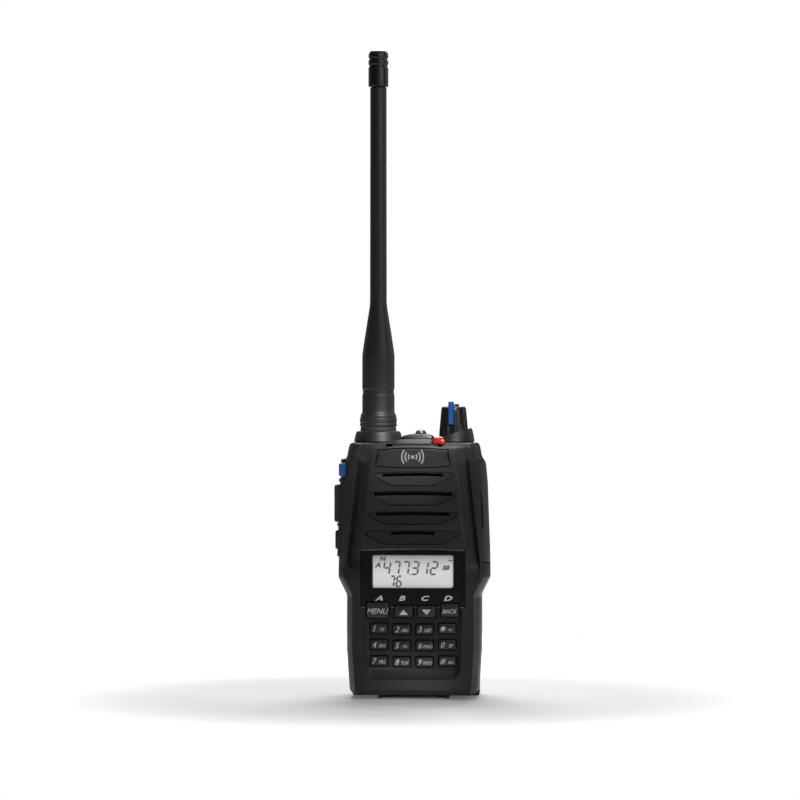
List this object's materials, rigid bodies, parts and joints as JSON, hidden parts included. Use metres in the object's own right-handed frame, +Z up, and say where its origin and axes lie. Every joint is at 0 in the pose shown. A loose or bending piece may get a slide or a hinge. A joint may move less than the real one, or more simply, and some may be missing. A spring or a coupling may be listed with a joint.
{
  "type": "handheld two-way radio",
  "caption": "Handheld two-way radio: keypad, display, whip antenna that unscrews, volume knob, push-to-talk bar, jack cover, slide-off battery and sprung belt clip.",
  "frame": {"origin": "on the flat base, on the centre line of the case, 19 mm behind the foremost line of the front face", "axes": "+Z up along the antenna, -Y out of the keypad face, +X to the right of someone reading the display"},
  "size_m": [0.064, 0.044, 0.266],
  "materials": {
    "case_plastic": "fine spark-eroded texture, charcoal",
    "key_plastic": "satin, bluish charcoal with white legends",
    "gloss_black": "polished black",
    "blue_plastic": "satin blue",
    "red_lens": "translucent red",
    "clear_lens": "clear moulded lens",
    "display_glass": "black printed acrylic with a clear window",
    "lcd": "silvery grey liquid crystal cell",
    "rubber": "matt black rubber",
    "whip_rubber": "matt over-moulded sheath",
    "die_cast": "black coated die casting",
    "steel": "pressed and nickel plated",
    "brass": "turned and gold plated",
    "circuit_board": "green solder mask",
    "speaker_cloth": "black acoustic mesh",
    "cell_can": "wrapped lithium-ion can"
  },
  "bodies": {
    "radio": {"front_shell": "case_plastic", "rear_chassis": "die_cast", "case_gasket": "rubber", "nameplate": "case_plastic", "display_lens": "display_glass", "lcd_module": "lcd", "keypad_mat": "rubber", "front_board": "circuit_board", "main_board": "circuit_board", "shield_can": "steel", "speaker": "steel", "speaker_mesh": "speaker_cloth", "microphone": "steel", "status_led": "red_lens", "torch_lens": "clear_lens", "antenna_connector": "brass", "antenna_seal": "rubber", "volume_pot": "steel", "accessory_jacks": "gloss_black", "side_frame": "case_plastic", "side_board": "circuit_board", "battery_terminals": "brass"},
    "battery_pack": {"battery_case": "case_plastic", "battery_lid": "case_plastic", "battery_cell_left": "cell_can", "battery_cell_right": "cell_can", "battery_contact_strip": "brass", "clip_bracket": "steel", "clip_pin": "steel", "latch_spring": "steel", "clip_spring": "steel"},
    "latch": {"battery_latch": "gloss_black"},
    "clip": {"belt_clip": "case_plastic"},
    "antenna": {"antenna_whip": "whip_rubber", "antenna_cap": "gloss_black", "antenna_collar": "gloss_black", "antenna_element": "brass"},
    "volume_control": {"volume_knob": "gloss_black", "knob_marker": "blue_plastic", "volume_shaft": "steel"},
    "push_to_talk": {"ptt_bar": "rubber"},
    "upper_side_button": {"side_key_upper": "blue_plastic"},
    "lower_side_button": {"side_key_lower": "rubber"},
    "jack_cover": {"accessory_cover": "rubber"},
    "key_menu_button": {"key_menu": "key_plastic"},
    "key_up_button": {"key_up": "key_plastic"},
    "key_down_button": {"key_down": "key_plastic"},
    "key_back_button": {"key_back": "key_plastic"},
    "key_1_button": {"key_1": "key_plastic"},
    "key_2_button": {"key_2": "key_plastic"},
    "key_3_button": {"key_3": "key_plastic"},
    "key_star_button": {"key_star": "key_plastic"},
    "key_4_button": {"key_4": "key_plastic"},
    "key_5_button": {"key_5": "key_plastic"},
    "key_6_button": {"key_6": "key_plastic"},
    "key_0_button": {"key_0": "key_plastic"},
    "key_7_button": {"key_7": "key_plastic"},
    "key_8_button": {"key_8": "key_plastic"},
    "key_9_button": {"key_9": "key_plastic"},
    "key_hash_button": {"key_hash": "key_plastic"}
  },
  "joints": [
    {"name": "antenna_turn", "type": "hinge", "parent": "radio", "child": "antenna", "pos_m": [-0.0151, -0.002, 0.1154], "axis": [0, 0, 1], "range_deg": [0, 1440]},
    {"name": "volume_turn", "type": "hinge", "parent": "radio", "child": "volume_control", "pos_m": [0.0159, -0.002, 0.112], "axis": [0, 0, 1], "range_deg": [-150, 150]},
    {"name": "battery_slide", "type": "slide", "parent": "radio", "child": "battery_pack", "axis": [0, 0, -1], "range_m": [0, 0.012]},
    {"name": "latch_press", "type": "slide", "parent": "battery_pack", "child": "latch", "axis": [0, 1, 0], "range_m": [0, 0.002], "stiffness_N_per_m": 300, "springref_m": -0.003, "deforming": ["latch_spring"]},
    {"name": "clip_open", "type": "hinge", "parent": "battery_pack", "child": "clip", "pos_m": [0, 0.0216, 0.076], "axis": [1, 0, 0], "range_deg": [0, 14], "stiffness_Nm_per_rad": 0.2, "springref_deg": -57.3, "deforming": ["clip_spring"]},
    {"name": "ptt_press", "type": "slide", "parent": "radio", "child": "push_to_talk", "axis": [1, 0, 0], "range_m": [0, 0.0012], "stiffness_N_per_m": 500, "springref_m": -0.004},
    {"name": "upper_side_press", "type": "slide", "parent": "radio", "child": "upper_side_button", "axis": [1, 0, 0], "range_m": [0, 0.0006], "stiffness_N_per_m": 400, "springref_m": -0.003},
    {"name": "lower_side_press", "type": "slide", "parent": "radio", "child": "lower_side_button", "axis": [1, 0, 0], "range_m": [0, 0.0006], "stiffness_N_per_m": 400, "springref_m": -0.003},
    {"name": "cover_open", "type": "hinge", "parent": "radio", "child": "jack_cover", "pos_m": [0.031, -0.002, 0.056], "axis": [-0.0439, 0, 0.999], "range_deg": [0, 100]},
    {"name": "key_menu_press", "type": "slide", "parent": "radio", "child": "key_menu_button", "axis": [0, 1, 0], "range_m": [0, 0.0007], "stiffness_N_per_m": 300, "springref_m": -0.003},
    {"name": "key_up_press", "type": "slide", "parent": "radio", "child": "key_up_button", "axis": [0, 1, 0], "range_m": [0, 0.0007], "stiffness_N_per_m": 300, "springref_m": -0.003},
    {"name": "key_down_press", "type": "slide", "parent": "radio", "child": "key_down_button", "axis": [0, 1, 0], "range_m": [0, 0.0007], "stiffness_N_per_m": 300, "springref_m": -0.003},
    {"name": "key_back_press", "type": "slide", "parent": "radio", "child": "key_back_button", "axis": [0, 1, 0], "range_m": [0, 0.0007], "stiffness_N_per_m": 300, "springref_m": -0.003},
    {"name": "key_1_press", "type": "slide", "parent": "radio", "child": "key_1_button", "axis": [0, 1, 0], "range_m": [0, 0.0007], "stiffness_N_per_m": 300, "springref_m": -0.003},
    {"name": "key_2_press", "type": "slide", "parent": "radio", "child": "key_2_button", "axis": [0, 1, 0], "range_m": [0, 0.0007], "stiffness_N_per_m": 300, "springref_m": -0.003},
    {"name": "key_3_press", "type": "slide", "parent": "radio", "child": "key_3_button", "axis": [0, 1, 0], "range_m": [0, 0.0007], "stiffness_N_per_m": 300, "springref_m": -0.003},
    {"name": "key_star_press", "type": "slide", "parent": "radio", "child": "key_star_button", "axis": [0, 1, 0], "range_m": [0, 0.0007], "stiffness_N_per_m": 300, "springref_m": -0.003},
    {"name": "key_4_press", "type": "slide", "parent": "radio", "child": "key_4_button", "axis": [0, 1, 0], "range_m": [0, 0.0007], "stiffness_N_per_m": 300, "springref_m": -0.003},
    {"name": "key_5_press", "type": "slide", "parent": "radio", "child": "key_5_button", "axis": [0, 1, 0], "range_m": [0, 0.0007], "stiffness_N_per_m": 300, "springref_m": -0.003},
    {"name": "key_6_press", "type": "slide", "parent": "radio", "child": "key_6_button", "axis": [0, 1, 0], "range_m": [0, 0.0007], "stiffness_N_per_m": 300, "springref_m": -0.003},
    {"name": "key_0_press", "type": "slide", "parent": "radio", "child": "key_0_button", "axis": [0, 1, 0], "range_m": [0, 0.0007], "stiffness_N_per_m": 300, "springref_m": -0.003},
    {"name": "key_7_press", "type": "slide", "parent": "radio", "child": "key_7_button", "axis": [0, 1, 0], "range_m": [0, 0.0007], "stiffness_N_per_m": 300, "springref_m": -0.003},
    {"name": "key_8_press", "type": "slide", "parent": "radio", "child": "key_8_button", "axis": [0, 1, 0], "range_m": [0, 0.0007], "stiffness_N_per_m": 300, "springref_m": -0.003},
    {"name": "key_9_press", "type": "slide", "parent": "radio", "child": "key_9_button", "axis": [0, 1, 0], "range_m": [0, 0.0007], "stiffness_N_per_m": 300, "springref_m": -0.003},
    {"name": "key_hash_press", "type": "slide", "parent": "radio", "child": "key_hash_button", "axis": [0, 1, 0], "range_m": [0, 0.0007], "stiffness_N_per_m": 300, "springref_m": -0.003}
  ]
}
